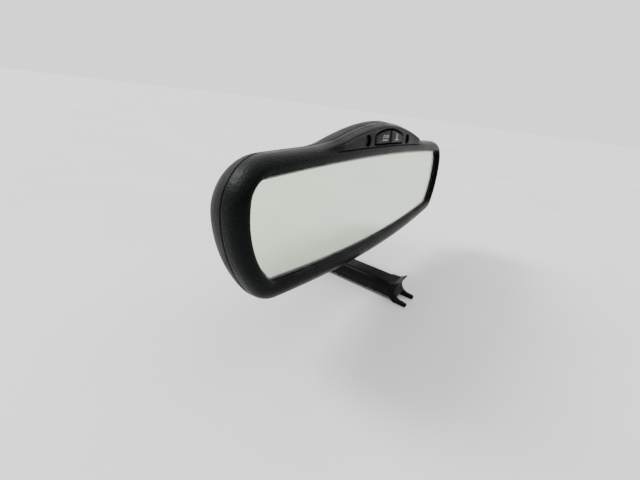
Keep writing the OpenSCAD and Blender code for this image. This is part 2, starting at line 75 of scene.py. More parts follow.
# ---------------------------------------------------------------- materials
class Graph:
    """A node material under construction: every texture reads object coordinates in mm."""

    def __init__(self, name):
        self.material = bpy.data.materials.new(name)
        self.material.use_nodes = True
        self.tree = self.material.node_tree
        self.tree.nodes.clear()
        self.shader = self.add("ShaderNodeBsdfPrincipled")
        out = self.add("ShaderNodeOutputMaterial")
        self.link(self.shader.outputs[0], out.inputs[0])
        coords = self.add("ShaderNodeTexCoord")
        per_mm = 1 / MM
        self.mm = self.add("ShaderNodeMapping", Scale=(per_mm, per_mm, per_mm),
                           Vector=coords.outputs["Object"]).outputs[0]

    def link(self, a, b):
        self.tree.links.new(a, b)

    def add(self, kind, attrs=None, **inputs):
        n = self.tree.nodes.new(kind)
        for k, v in (attrs or {}).items():
            setattr(n, k, v)
        for k, v in inputs.items():
            self.set(n, k.replace("_", " "), v)
        return n

    def set(self, n, key, v):
        socket = n.inputs[key]
        if isinstance(v, bpy.types.NodeSocket):
            self.link(v, socket)
        else:
            socket.default_value = v

    def stretched(self, scale):
        return self.add("ShaderNodeMapping", Scale=scale, Vector=self.mm).outputs[0]

    def noise(self, size, detail=2.0, rough=0.5, vector=None, distortion=0.0):
        return self.add("ShaderNodeTexNoise", Vector=vector or self.mm, Scale=1 / size, Detail=detail,
                        Roughness=rough, Distortion=distortion).outputs["Fac"]

    def cells(self, size, feature="F1"):
        return self.add("ShaderNodeTexVoronoi", {"feature": feature}, Vector=self.mm,
                        Scale=1 / size).outputs["Distance"]

    def span(self, value, a, b, c=0.0, d=1.0):
        """Maps value from the range a to b onto the range c to d."""
        n = self.add("ShaderNodeMapRange", Value=value)
        for k, v in zip(("From Min", "From Max", "To Min", "To Max"), (a, b, c, d)):
            n.inputs[k].default_value = v
        return n.outputs[0]

    def math(self, op, a, b):
        n = self.add("ShaderNodeMath", {"operation": op})
        self.set(n, 0, a)
        self.set(n, 1, b)
        return n.outputs[0]

    def blend(self, factor, a, b):
        n = self.add("ShaderNodeMix", {"data_type": "RGBA"})
        self.set(n, 0, factor)
        self.set(n, 6, a if isinstance(a, bpy.types.NodeSocket) else (*a, 1))
        self.set(n, 7, b if isinstance(b, bpy.types.NodeSocket) else (*b, 1))
        return n.outputs[2]

    def bump(self, height, depth, under=None):
        """A bump of the given depth in mm, over the normal of another bump where there is one."""
        n = self.add("ShaderNodeBump", Height=height, Distance=depth * MM, Strength=1.0)
        if under is not None:
            self.link(under, n.inputs["Normal"])
        return n.outputs[0]

    def finish(self, **inputs):
        """Sets or links the shader's sockets, named with _ for spaces, and gives the material."""
        for k, v in inputs.items():
            if k.endswith("Color") and isinstance(v, tuple):
                v = (*v, 1)
            self.set(self.shader, k.replace("_", " "), v)
        return self.material


def tone(c, k):
    """A colour made k times as bright."""
    return tuple(min(1.0, v * k) for v in c)


def moulded(name, colour, rough=0.5, grain=0.9, depth=0.05, wear=1.7, dust=0.0, mottle=0.14,
            tint=None, **more):
    """Moulded plastic with a spark-eroded grain, faint flow mottling, polish on its edges and dust.

    grain and depth are the grain's size and depth in mm; tint is the colour of its raised spots.
    """
    g = Graph(name)
    pebbles = g.cells(grain, "SMOOTH_F1")
    fine = g.noise(grain * 0.45, 3)
    broad = g.noise(26, 3, 0.6)
    height = g.math("ADD", pebbles, g.math("MULTIPLY", fine, 0.8))
    shade = g.blend(g.span(broad, 0.35, 0.68), tone(colour, 1 - mottle), tone(colour, 1 + mottle))
    pits = g.span(g.math("ADD", pebbles, g.math("MULTIPLY", fine, 0.5)), 0.45, 1.0, 0.0, 1.0)
    shade = g.blend(g.math("MULTIPLY", pits, 0.35), shade, tint or tone(colour, 1.55))
    edge = g.span(g.add("ShaderNodeNewGeometry").outputs["Pointiness"], 0.53, 0.60)
    worn = g.math("MULTIPLY", edge, g.span(g.noise(3.2, 4), 0.4, 0.7, 0.15, 0.7))
    shade = g.blend(worn, shade, tone(colour, wear))
    if dust:
        specks = g.span(g.cells(2.3), 0.05, 0.11, 1.0, 0.0)
        film = g.math("MULTIPLY", specks, g.span(g.noise(9, 3), 0.5, 0.64))
        shade = g.blend(g.math("MULTIPLY", film, dust), shade, (0.34, 0.34, 0.32))
    polish = g.span(g.noise(14, 4), 0.3, 0.7, rough - 0.07, rough + 0.08)
    polish = g.math("SUBTRACT", polish, g.math("MULTIPLY", worn, 0.08))
    normal = g.bump(height, depth, g.bump(broad, 0.05))
    return g.finish(Base_Color=shade, Roughness=polish, Normal=normal, **more)


def coated(name, colour, rough=0.42, peel=0.04):
    """Powder coat over metal: orange peel, fine specks and bright rubbed edges."""
    g = Graph(name)
    skin = g.noise(1.5, 2, 0.45)
    fine = g.noise(0.35, 2)
    edge = g.span(g.add("ShaderNodeNewGeometry").outputs["Pointiness"], 0.54, 0.62)
    rubbed = g.math("MULTIPLY", edge, g.span(g.noise(1.8, 4), 0.45, 0.68, 0.0, 0.55))
    shade = g.blend(g.span(g.noise(20, 3), 0.3, 0.7), tone(colour, 0.85), tone(colour, 1.2))
    shade = g.blend(rubbed, shade, (0.16, 0.16, 0.165))
    level = g.math("SUBTRACT", g.span(g.noise(7, 4), 0.3, 0.7, rough - 0.06, rough + 0.08),
                   g.math("MULTIPLY", rubbed, 0.12))
    return g.finish(Base_Color=shade, Roughness=level, Normal=g.bump(skin, peel, g.bump(fine, peel * 0.25)))


def plated(name, colour, rough=0.3, lines=(0.4, 6, 6), depth=0.01):
    """Plated or turned metal: directional machining lines under a faintly cloudy plating."""
    g = Graph(name)
    marks = g.noise(1.0, 3, 0.6, g.stretched(lines))
    cloud = g.noise(5, 4, 0.6)
    shade = g.blend(g.span(cloud, 0.3, 0.72), tone(colour, 0.78), tone(colour, 1.1))
    level = g.math("ADD", g.span(cloud, 0.3, 0.7, rough - 0.05, rough + 0.1),
                   g.span(marks, 0.3, 0.7, -0.04, 0.05))
    return g.finish(Base_Color=shade, Roughness=level, Metallic=1.0, Normal=g.bump(marks, depth))


def waxy(name, colour, rough=0.38, depth=0.008, **more):
    """Natural nylon, epoxy or smooth moulded resin: a cloudy body and a soft gloss."""
    g = Graph(name)
    cloud = g.noise(3.5, 4, 0.6)
    shade = g.blend(g.span(cloud, 0.3, 0.7), tone(colour, 0.84), tone(colour, 1.1))
    level = g.span(g.noise(1.4, 3), 0.3, 0.7, rough - 0.06, rough + 0.07)
    return g.finish(Base_Color=shade, Roughness=level, Normal=g.bump(g.noise(0.6, 2), depth), **more)


def foam(name, colour):
    """Closed-cell foam: small dark pores in a dull skin."""
    g = Graph(name)
    pores = g.cells(0.35)
    shade = g.blend(g.span(pores, 0.1, 0.7), tone(colour, 0.5), tone(colour, 1.35))
    return g.finish(Base_Color=shade, Roughness=g.span(pores, 0, 0.8, 0.95, 0.8), Normal=g.bump(pores, 0.15))


def laminate(name, colour):
    """Circuit board: solder mask with tracks showing through and a glass-weave edge."""
    g = Graph(name)
    tracks = g.add("ShaderNodeTexBrick", Vector=g.stretched((1, 0.02, 1)), Scale=0.35)
    for key, value in (("Color1", (0, 0, 0, 1)), ("Color2", (0, 0, 0, 1)), ("Mortar", (1, 1, 1, 1)),
                       ("Mortar Size", 0.035), ("Mortar Smooth", 0.1)):
        tracks.inputs[key].default_value = value
    weave = g.noise(0.5, 2, 0.5, g.stretched((1, 3, 1)))
    shade = g.blend(g.span(weave, 0.3, 0.7), tone(colour, 0.8), tone(colour, 1.15))
    shade = g.blend(g.math("MULTIPLY", tracks.outputs["Fac"], 0.6), shade, tone(colour, 2.2))
    return g.finish(Base_Color=shade, Roughness=g.span(weave, 0.3, 0.7, 0.28, 0.42),
                    Normal=g.bump(tracks.outputs["Fac"], 0.03))


def silvered(name):
    """The mirror coat: a faint green cast and slow haze."""
    g = Graph(name)
    haze = g.noise(38, 4, 0.6)
    shade = g.blend(g.span(haze, 0.3, 0.7), (0.785, 0.868, 0.7), (0.82, 0.903, 0.738))
    level = g.span(g.noise(22, 5, 0.65), 0.42, 0.72, 0.012, 0.05)
    return g.finish(Base_Color=shade, Roughness=level, Metallic=1.0)


def clear_glass(name):
    """Clear glass with handling smears in its polish."""
    g = Graph(name)
    smear = g.noise(1.0, 5, 0.6, g.stretched((0.035, 0.2, 0.12)), 1.2)
    specks = g.span(g.cells(7), 0.03, 0.07, 1.0, 0.0)
    level = g.math("ADD", g.span(smear, 0.5, 0.72, 0.0, 0.035), g.math("MULTIPLY", specks, 0.25))
    return g.finish(Base_Color=(0.965, 0.985, 0.972), Roughness=level, Transmission_Weight=1.0, IOR=1.5)


def smoked(name, colour, rough):
    """A nearly black lens, slightly cloudy and soft in its gloss."""
    g = Graph(name)
    cloud = g.noise(1.6, 3)
    shade = g.blend(g.span(cloud, 0.3, 0.7), tone(colour, 0.7), tone(colour, 2.2))
    level = g.span(g.noise(0.8, 3), 0.3, 0.7, rough - 0.04, rough + 0.06)
    return g.finish(Base_Color=shade, Roughness=level, Specular_IOR_Level=0.06, Normal=g.bump(cloud, 0.01))


BEZEL_TONE = (0.0038, 0.0042, 0.0042)
HOUSING_TONE = (0.0082, 0.0085, 0.0072)
MATERIALS = {
    "bezel": moulded("charcoal_grain", BEZEL_TONE, 0.33, 1.1, 0.13, 2.0, 0.15,
                     tint=(0.0085, 0.0102, 0.0108), Specular_IOR_Level=0.05),
    "housing": moulded("housing_grain", HOUSING_TONE, 0.44, 1.0, 0.09, 1.8, 0.15,
                       tint=(0.0135, 0.014, 0.0118), Specular_IOR_Level=0.05),
    "button": moulded("button_grain", (0.0075, 0.008, 0.008), 0.46, 0.45, 0.03, 1.9, 0.1,
                      Specular_IOR_Level=0.09),
    "cover": moulded("cover_satin", (0.003, 0.0032, 0.0031), 0.44, 0.6, 0.02, 4.0, 0.1, 0.2,
                     Specular_IOR_Level=0.06),
    "carrier": moulded("carrier_plain", (0.05, 0.05, 0.053), 0.5, 0.7, 0.02),
    "switch": moulded("switch_plain", (0.04, 0.04, 0.042), 0.4, 0.4, 0.01),
    "chips": moulded("chip_epoxy", (0.025, 0.025, 0.027), 0.45, 0.25, 0.01),
    "socket": moulded("connector_nylon", (0.022, 0.022, 0.025), 0.33, 0.5, 0.012, 2.6),
    "seal": waxy("sealant", (0.05, 0.05, 0.05), 0.6, 0.05),
    "foam": foam("cell_foam", (0.11, 0.11, 0.115)),
    # The board's solder mask is a real dark green, made nearly black as painted shade for the gap between the
    # keys, where it shows.
    "board": laminate("solder_mask_painted_shade", (0.004, 0.015, 0.009)),
    "plunger": waxy("plunger_nylon", (0.75, 0.72, 0.62)),
    "nylon": waxy("seat_nylon", (0.78, 0.76, 0.68), 0.4, 0.012, Subsurface_Weight=0.15,
                  Subsurface_Radius=(1, 1, 1), Subsurface_Scale=0.0008),
    "photocell": waxy("photocell_epoxy", (0.1, 0.05, 0.04), 0.2),
    "led": waxy("led_epoxy", (0.25, 0.55, 0.28), 0.15),
    "pins": plated("tinned_brass", (0.75, 0.6, 0.3), 0.25, (6, 0.5, 6), 0.004),
    "spring_steel": plated("spring_steel", (0.6, 0.61, 0.63), 0.28, (0.4, 5, 5), 0.006),
    "screw": plated("zinc_screw", (0.55, 0.55, 0.56), 0.32, (5, 0.7, 5), 0.008),
    "pivot_steel": plated("zinc_pressing", (0.5, 0.5, 0.51), 0.38, (0.5, 4, 3), 0.02),
    "ball": plated("turned_ball", (0.52, 0.52, 0.535), 0.25, (0.3, 3, 9), 0.006),
    "stem": coated("stem_powder_coat", (0.022, 0.0225, 0.024), 0.4),
    "shoe": coated("shoe_powder_coat", (0.02, 0.0205, 0.022), 0.45, 0.07),
    "reflector": silvered("mirror_coat"),
    "front_glass": clear_glass("front_glass_clear"),
    "dark_lens": smoked("smoked_lens", (0.003, 0.003, 0.0035), 0.3),
}
MARK = waxy("pad_print", (0.4, 0.41, 0.4), 0.5, 0.004)

# Every CAD node gets its slot's material, and keeps it unless a piece replaces the node.
SLOTS = {s["node"]: s["material_slot"] for s in frame["record"]["subparts"]}
for node, obj in NODES.items():
    obj.data.materials.clear()
    obj.data.materials.append(MATERIALS[SLOTS[node]])


# ---------------------------------------------------------------- mesh helpers
def new_object(name, points, faces, axes=ROW):
    """An object from points in mm in a frame of axes, with its faces turned outwards."""
    mesh = bpy.data.meshes.new(name)
    mesh.from_pydata([tuple(p) for p in place(points, axes)], [], [tuple(int(i) for i in f) for f in faces])
    mesh.validate()
    obj = bpy.data.objects.new(name, mesh)
    bpy.context.scene.collection.objects.link(obj)
    bm = bmesh.new()
    bm.from_mesh(mesh)
    bmesh.ops.recalc_face_normals(bm, faces=bm.faces)
    bm.to_mesh(mesh)
    bm.free()
    return obj


def apply_modifiers(obj):
    """Replaces the object's mesh by what its modifiers make of it."""
    mesh = bpy.data.meshes.new_from_object(obj.evaluated_get(bpy.context.evaluated_depsgraph_get()))
    obj.modifiers.clear()
    obj.data = mesh


def boolean(obj, other, operation):
    """Joins obj with, or cuts it by, another object, which is used up."""
    m = obj.modifiers.new("cut", "BOOLEAN")
    m.operation = operation
    m.solver = "EXACT"
    m.object = other
    bpy.context.view_layer.update()
    apply_modifiers(obj)
    bpy.data.objects.remove(other)


def bevel(obj, width, segments=3, angle=32):
    """Rounds every edge sharper than the angle, in degrees."""
    m = obj.modifiers.new("bevel", "BEVEL")
    m.width = width * MM
    m.segments = segments
    m.limit_method = "ANGLE"
    m.angle_limit = math.radians(angle)
    m.use_clamp_overlap = True
    m.miter_outer = "MITER_ARC"
    bpy.context.view_layer.update()
    apply_modifiers(obj)


def clean(obj):
    """Merges doubled points and joins faces that lie flat beside each other, so that a bevel runs even."""
    merge, flat = 0.004 * MM, math.radians(0.6)
    bm = bmesh.new()
    bm.from_mesh(obj.data)
    bmesh.ops.remove_doubles(bm, verts=bm.verts, dist=merge)
    bmesh.ops.dissolve_limit(bm, angle_limit=flat, verts=bm.verts, edges=bm.edges)
    bm.to_mesh(obj.data)
    bm.free()


def piece(obj, body, slot, node, sharp=38):
    """Finishes a piece: its slot's material where it has none, smooth shading up to the sharp angle and its body,
    and it hides the CAD node that it replaces.
    """
    if not obj.data.materials:
        obj.data.materials.append(MATERIALS[slot])
    for p in obj.data.polygons:
        p.use_smooth = True
    obj.data.set_sharp_from_angle(angle=math.radians(sharp))
    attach(obj, body)
    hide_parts(node)


def band_faces(rings, count, closed):
    """Quads between neighbouring rings of count points; closed joins the last ring to the first."""
    faces = []
    for i in range(rings if closed else rings - 1):
        a, b = i * count, (i + 1) % rings * count
        faces += [(a + j, b + j, b + (j + 1) % count, a + (j + 1) % count) for j in range(count)]
    return faces


def loft(name, rings, axes, closed=False):
    """A closed shell through rings of equal length: capped at both ends, or run back to the first ring."""
    count = len(rings[0])
    faces = band_faces(len(rings), count, closed)
    if not closed:
        last = (len(rings) - 1) * count
        faces += [tuple(range(count)), tuple(range(last + count - 1, last - 1, -1))]
    return new_object(name, np.vstack(rings), faces, axes)


def lathe(name, profile, axes, sides=96, centre=(0, 0, 0)):
    """Turns a closed (radius, height) profile round the frame's z axis. Radius 0 makes a pole."""
    points, faces, rows = [], [], []
    angles = np.linspace(0, 2 * np.pi, sides, endpoint=False)
    for r, h in profile:
        if r < 1e-6:
            rows.append([len(points)] * sides)
            points.append((centre[0], centre[1], centre[2] + h))
        else:
            rows.append(list(range(len(points), len(points) + sides)))
            points += [(centre[0] + r * math.cos(a), centre[1] + r * math.sin(a), centre[2] + h)
                       for a in angles]
    pairs = list(zip(rows, rows[1:]))
    if profile[0][0] > 1e-6:
        pairs.append((rows[-1], rows[0]))
    for low, high in pairs:
        for j in range(sides):
            k = (j + 1) % sides
            quad = list(dict.fromkeys((low[j], low[k], high[k], high[j])))
            if len(quad) > 2:
                faces.append(quad)
    return new_object(name, points, faces, axes)


def turned(axes):
    """The head frame turned so that its z axis runs into the housing, for lathes along the head's y."""
    o, x, y, z = axes
    return (o, x, -z, y)


def disc(cx, cz, y):
    """A head-frame place (x, z at depth y) as a centre in the turned frame."""
    return (cx, -cz, y)


def prism(name, outline, axis, low, high, axes=ROW):
    """Extrudes a 2-D outline along axis 0, 1 or 2; the outline's two numbers fill the other axes in order."""
    ends = [np.insert(np.asarray(outline, float), axis, level, axis=1) for level in (low, high)]
    return loft(name, ends, axes)


def pchip(t, values, at):
    """Monotone cubic through values at t, so that a section never overshoots its stations."""
    t, v = np.asarray(t, float), np.asarray(values, float)
    h, slope = np.diff(t), np.diff(v) / np.diff(t)
    d = np.zeros(len(v))
    for i in range(1, len(v) - 1):
        if slope[i - 1] * slope[i] > 0:
            a, b = 2 * h[i] + h[i - 1], h[i] + 2 * h[i - 1]
            d[i] = (a + b) / (a / slope[i - 1] + b / slope[i])
    d[0], d[-1] = slope[0], slope[-1]
    k = np.clip(np.searchsorted(t, at, side="right") - 1, 0, len(h) - 1)
    s = (at - t[k]) / h[k]
    return (v[k] * (1 + 2 * s) * (1 - s) ** 2 + h[k] * d[k] * s * (1 - s) ** 2
            + v[k + 1] * s * s * (3 - 2 * s) + h[k] * d[k + 1] * s * s * (s - 1))


def refine(stations, step):
    """Stations of a section (offset, depth, lift, depth on the hump) with smooth ones added between them.

    New stations are at most step mm apart, where a change in lift counts too, as lift_mm for all of it.
    """
    lift_mm = 1.5
    a = np.asarray(stations, float)
    gaps = np.hypot(np.diff(a[:, 0]), np.diff((a[:, 1] + a[:, 3]) / 2)) + lift_mm * np.abs(np.diff(a[:, 2]))
    t = np.concatenate([[0], np.cumsum(gaps)])
    at = [0.0]
    for i, gap in enumerate(gaps):
        n = max(1, int(math.ceil(gap / step)))
        at += [t[i] + gap * (k + 1) / n for k in range(n)]
    at = np.array(at)
    return np.stack([pchip(t, a[:, k], at) for k in range(a.shape[1])], axis=1)


# ---------------------------------------------------------------- outlines of the glass and the head
def meet(a, ra, b, rb, side):
    """One of the two points where circles of radius ra round a and rb round b cross."""
    d = np.linalg.norm(b - a)
    u = (b - a) / d
    t = (d * d + ra * ra - rb * rb) / (2 * d)
    return a + u * t + side * math.sqrt(ra * ra - t * t) * np.array([-u[1], u[0]])


def bearing(a, b):
    """The direction from a to b, in degrees."""
    return math.degrees(math.atan2(b[1] - a[1], b[0] - a[0]))


def outline_of(top, bottom, half_w, top_r, bottom_r, end_r, end_z, corner_top, corner_bottom):
    """Points and outward normals of a crowned outline with four rounded corners, clockwise from the top.

    top, bottom and half_w are its reach from the centre; top_r, bottom_r and end_r are the radii of its
    sides, and each end's arc has its centre at height end_z.
    """
    top_c, bottom_c = np.array([0, top - top_r]), np.array([0, bottom_r - bottom])
    end_c = np.array([half_w - end_r, end_z])
    upper = meet(top_c, top_r - corner_top, end_c, end_r - corner_top, -1)
    lower = meet(bottom_c, bottom_r - corner_bottom, end_c, end_r - corner_bottom, 1)
    a = [90, bearing(top_c, upper), bearing(end_c, upper), bearing(end_c, lower), bearing(bottom_c, lower),
         -90]
    arcs = [(top_c, top_r, 104), (upper, corner_top, 20), (end_c, end_r, 26), (lower, corner_bottom, 16),
            (bottom_c, bottom_r, 56)]
    points, normals = [], []
    for (c, r, n), a0, a1 in zip(arcs, a, a[1:]):
        for k in range(n):
            w = math.radians(a0 + (a1 - a0) * k / n)
            normals.append((math.cos(w), math.sin(w)))
            points.append((c[0] + r * math.cos(w), c[1] + r * math.sin(w)))
    points.append((0, -bottom))
    normals.append((0, -1))
    mirror = slice(len(points) - 2, 0, -1)
    flip = np.array([-1, 1])
    p, n = np.array(points), np.array(normals)
    return np.vstack([p, p[mirror] * flip]), np.vstack([n, n[mirror] * flip])


GLASS_TOP, GLASS_BOTTOM, GLASS_HALF_W = 26.4, 29.6, 121
RIM, RIM_BOTTOM, HEAD_HALF_W, WALL = 8.5, 11.5, 127.8, 2.1
PARTING_Y, PARTING_HUMP_Y, PARTING_LIFT = 7.4, 3.0, 0.88


def glass_outline(corner_top, corner_bottom):
    """The glass's crowned outline with the given radii at its corners."""
    return outline_of(GLASS_TOP, GLASS_BOTTOM, GLASS_HALF_W, 2100, 950, 43, 6.4, corner_top, corner_bottom)


# GLASS is the glass's own edge and OPENING the bezel's, which shows, with rounder corners in front of it.
GLASS, GLASS_N = glass_outline(9, 5)
OPENING, _ = glass_outline(10, 9)
BODY, _ = outline_of(GLASS_TOP + RIM, GLASS_BOTTOM + RIM_BOTTOM, HEAD_HALF_W, 2108, 800, 61, 7, 24, 15)
TOP_SIDE = (GLASS_N[:, 1] > 0.5).astype(float)
# The hump: its height in the middle, the half width of its curve, where its foot's curve takes over,
# where that ends, and the power of the curve
HUMP_H, HUMP_FOOT, HUMP_BLEND, HUMP_END, HUMP_POWER = 12.7, 66, 57, 76, 1.8
BLEND_RISE = HUMP_H * (1 - (HUMP_BLEND / HUMP_FOOT) ** HUMP_POWER) / (HUMP_END - HUMP_BLEND) ** 2


def hump_lift(x):
    """Height that the hump adds to the top edge at x."""
    x = np.abs(x)
    crown = HUMP_H * (1 - (np.minimum(x, HUMP_BLEND) / HUMP_FOOT) ** HUMP_POWER)
    foot = BLEND_RISE * np.maximum(HUMP_END - x, 0) ** 2
    return np.where(x < HUMP_BLEND, crown, foot)


def on_hump(x):
    """How far x is on the hump, from 0 at its foot to 1 where the lift reaches full_at."""
    full_at = 3.5
    t = np.minimum(1, hump_lift(x) / full_at)
    return t * t * (3 - 2 * t) * 0.5 + t * 0.5


def ring(d, y, lift, y_hump):
    """One ring of a shell at depth y, or y_hump on the hump.

    d runs from the bezel's opening, 0, to the head's outline, RIM, and lift is the ring's share of the hump.
    """
    q = OPENING * (1 - d / RIM) + BODY * (d / RIM)
    k = TOP_SIDE * on_hump(q[:, 0])
    return np.stack([q[:, 0], y + (y_hump - y) * k, q[:, 1] + TOP_SIDE * lift * hump_lift(q[:, 0])], axis=1)


def glass_ring(d, y):
    """The glass's outline grown by d, at depth y."""
    q = GLASS + d * GLASS_N
    return np.stack([q[:, 0], np.full(len(q), float(y)), q[:, 1]], axis=1)


# ---------------------------------------------------------------- buttons
BUTTON_IN, BUTTON_OUT, BUTTON_LOW, BUTTON_SIDE_TOP, BUTTON_MID_TOP = 0.35, 21.15, 33.2, 38.2, 42.0
PANEL_Y = -2.8
BOSS_X, BOSS_Z, BOSS_R, BOSS_END = 10.0, 37.2, 2.4, 4.4
KEY_BACK, KEY_FACE, KEY_CROWN, KEY_EDGE = 0.7, -3.1, 0.28, 1.2


def soften(p, step=0.3, passes=7):
    """Resamples a closed outline evenly and rounds its corners."""
    p = np.asarray(p, float)
    closed = np.vstack([p, p[:1]])
    run = np.concatenate([[0], np.cumsum(np.linalg.norm(np.diff(closed, axis=0), axis=1))])
    n = int(run[-1] / step)
    at = np.linspace(0, run[-1], n, endpoint=False)
    q = np.stack([np.interp(at, run, closed[:, k]) for k in (0, 1)], axis=1)
    for _ in range(passes):
        q = (np.roll(q, 1, 0) + 2 * q + np.roll(q, -1, 0)) / 4
    return q


def grown(p, g):
    """An outline offset outwards by g, for points that run anticlockwise."""
    tangent = np.roll(p, -1, 0) - np.roll(p, 1, 0)
    tangent /= np.linalg.norm(tangent, axis=1, keepdims=True)
    return p + g * np.stack([tangent[:, 1], -tangent[:, 0]], axis=1)


def button_outline(side):
    """The right button's outline under the arch, or its mirror image for the left one."""
    x = np.linspace(BUTTON_OUT, BUTTON_IN, 24)
    top = BUTTON_SIDE_TOP + (BUTTON_MID_TOP - BUTTON_SIDE_TOP) * (1 - (x / BUTTON_OUT) ** 2)
    p = np.vstack([[(BUTTON_IN, BUTTON_LOW), (BUTTON_OUT, BUTTON_LOW)], np.stack([x, top], axis=1)])
    if side < 0:
        p = (p * np.array([-1, 1]))[::-1]
    return soften(p)


def in_head(p, y):
    """A head-frame ring from an (x, z) outline at depth y."""
    return np.stack([p[:, 0], np.full(len(p), float(y)), p[:, 1]], axis=1)


def make_button(side, name, body, node):
    """A button cap with a rounded edge, a crowned face, its boss behind it and a generic printed mark."""
    outline = button_outline(side)
    boss = np.array([side * BOSS_X, BOSS_Z])
    around = outline - boss
    around /= np.linalg.norm(around, axis=1, keepdims=True)
    rings = [in_head(boss + around * BOSS_R, BOSS_END), in_head(boss + around * BOSS_R, KEY_BACK + 0.2),
             in_head(boss + around * (BOSS_R + 0.3), KEY_BACK), in_head(grown(outline, -0.6), KEY_BACK)]
    rings += [in_head(grown(outline, g), y) for g, y in
              ((-0.42, 0.3), (-0.42, -2.3), (-0.5, -2.6), (-0.68, -2.88), (-0.92, -3.03),
               (-KEY_EDGE, KEY_FACE))]
    rim = grown(outline, -KEY_EDGE)
    middle = rim.mean(axis=0)
    for s in (0.85, 0.68, 0.5, 0.32, 0.15):
        rings.append(in_head(middle + (rim - middle) * s, KEY_FACE - KEY_CROWN * (1 - s * s)))
    obj = loft(name, rings, HEAD)
    obj.data.materials.append(MATERIALS["button"])
    obj.data.materials.append(MARK)

    def face_y(x, z):
        """Depth of the crowned face, which falls to KEY_FACE half_w and half_h from the middle."""
        half_w, half_h = 9.6, 3.7
        s = np.hypot((x - middle[0]) / half_w, (z - middle[1]) / half_h)
        return KEY_FACE - KEY_CROWN * max(0.0, 1 - s * s)

    bm = bmesh.new()
    bm.from_mesh(obj.data)

    def stroke(points, width=0.6, close=False):
        """A printed stroke along points on the button's face, as a thin closed strip."""
        proud, sunk = -0.045, 0.05
        p = np.asarray(points, float)
        if not close:
            run = np.linspace(0, len(p) - 1, 6 * (len(p) - 1) + 1)
            p = np.stack([np.interp(run, range(len(p)), p[:, k]) for k in (0, 1)], axis=1)
        n = len(p)
        tangent = np.roll(p, -1, 0) - np.roll(p, 1, 0) if close else np.gradient(p, axis=0)
        tangent /= np.linalg.norm(tangent, axis=1, keepdims=True)
        off = np.stack([tangent[:, 1], -tangent[:, 0]], axis=1) * width / 2
        cross = []
        for i in range(n):
            row = []
            for way, lift in ((1, proud), (-1, proud), (-1, sunk), (1, sunk)):
                q = p[i] + way * off[i]
                row.append(bm.verts.new(place([(q[0], face_y(*q) + lift, q[1])], HEAD)[0]))
            cross.append(row)
        made = []
        for i in range(n if close else n - 1):
            a, b = cross[i], cross[(i + 1) % n]
            made += [bm.faces.new((a[k], a[(k + 1) % 4], b[(k + 1) % 4], b[k])) for k in range(4)]
        if not close:
            made += [bm.faces.new(cross[0][::-1]), bm.faces.new(cross[-1])]
        for f in made:
            f.material_index = 1

    under = 35.6
    if side < 0:
        for x in (-11.6, -9.2, -6.8):
            stroke([(x, 36.7), (x + 0.5, 37.7), (x + 1.0, 38.8)])
        stroke([(-4.9, 36.8), (-4.4, 37.8), (-4.0, 38.9)])
        stroke([(-12.4, under), (-8.4, under), (-4.6, under)], 0.5)
    else:
        ring_x, ring_z, ring_r = 9.6, 37.7, 1.25
        turn = np.linspace(0, 2 * np.pi, 20, endpoint=False)
        stroke(np.stack([ring_x + ring_r * np.cos(turn), ring_z + ring_r * np.sin(turn)], axis=1), 0.55,
               close=True)
        stroke([(6.6, under), (9.6, under), (12.6, under)], 0.5)
    bmesh.ops.recalc_face_normals(bm, faces=bm.faces)
    bm.to_mesh(obj.data)
    bm.free()
    piece(obj, body, "button", node, sharp=50)


make_button(-1, "left_button_cap", "left_key", "left_button")
make_button(1, "right_button_cap", "right_key", "right_button")

# ---------------------------------------------------------------- bezel
LENS_X, LENS_Z, LENS_HOLE_R = 30, 35.6, 3.1
# Stations are (offset from the opening, depth, share of the hump, depth on the hump). The lip rises from
# the glass; the roll turns back over the rim, with the button panel and its crest on the hump.
lip = refine([(0, 0, 0, 0), (0.04, -0.5, 0, -0.5), (0.14, -1.5, 0, -1.5), (0.5, -2.3, 0, -2.3),
              (1.3, -2.82, 0, -2.82), (2.9, -3.1, 0, -3.1), (4.6, -2.75, 0, -2.7),
              (5.25, -2.35, 0, -1.95)], 0.42)
roll = refine([(5.25, -2.35, 0, -1.85), (5.55, -2.15, 0.02, -2.5), (5.9, -1.9, 0.06, -2.8),
               (6.2, -1.6, 0.36, -2.8), (6.45, -1.35, 0.66, -2.78), (6.6, -1.2, 0.735, -3.0),
               (6.8, -1.0, 0.775, -3.3), (7.1, -0.55, 0.81, -3.2), (7.5, 0.1, 0.845, -2.2),
               (8.1, 1.7, 0.87, 0.0), (8.42, 3.2, 0.88, 1.0), (RIM, 4.8, PARTING_LIFT, 1.7)], 0.38)
foot = [(RIM, 5.9, PARTING_LIFT, 2.2), (RIM, PARTING_Y - 0.5, PARTING_LIFT, PARTING_HUMP_Y - 0.5),
        (RIM - 0.06, PARTING_Y - 0.34, PARTING_LIFT, PARTING_HUMP_Y - 0.34),
        (RIM - 0.22, PARTING_Y - 0.25, PARTING_LIFT, PARTING_HUMP_Y - 0.25),
        (RIM - 1.0, PARTING_Y - 0.22, PARTING_LIFT, PARTING_HUMP_Y - 0.22),
        (RIM - 1.02, PARTING_Y, PARTING_LIFT, PARTING_HUMP_Y)]
inside = [(RIM - WALL, PARTING_Y, PARTING_LIFT, PARTING_HUMP_Y), (6.3, 3.6, 0.86, 1.4),
          (5.7, 1.4, 0.84, 0.2), (5, 0.4, 0.8, -0.6), (4.4, -0.3, 0, -0.6)]
bezel_rings = [ring(*s) for s in list(lip) + list(roll)[1:] + foot + inside]
POCKET, POCKET_OUT, POCKET_BACK = 1.5, 2.3, 4.6
bezel_rings += [glass_ring(POCKET_OUT, -0.5), glass_ring(POCKET_OUT, POCKET_BACK),
                glass_ring(POCKET, POCKET_BACK), glass_ring(POCKET, -0.02)]
bezel = loft("bezel_shell", bezel_rings, HEAD, closed=True)
CUT_FRONT, CUT_BACK = -6, 3
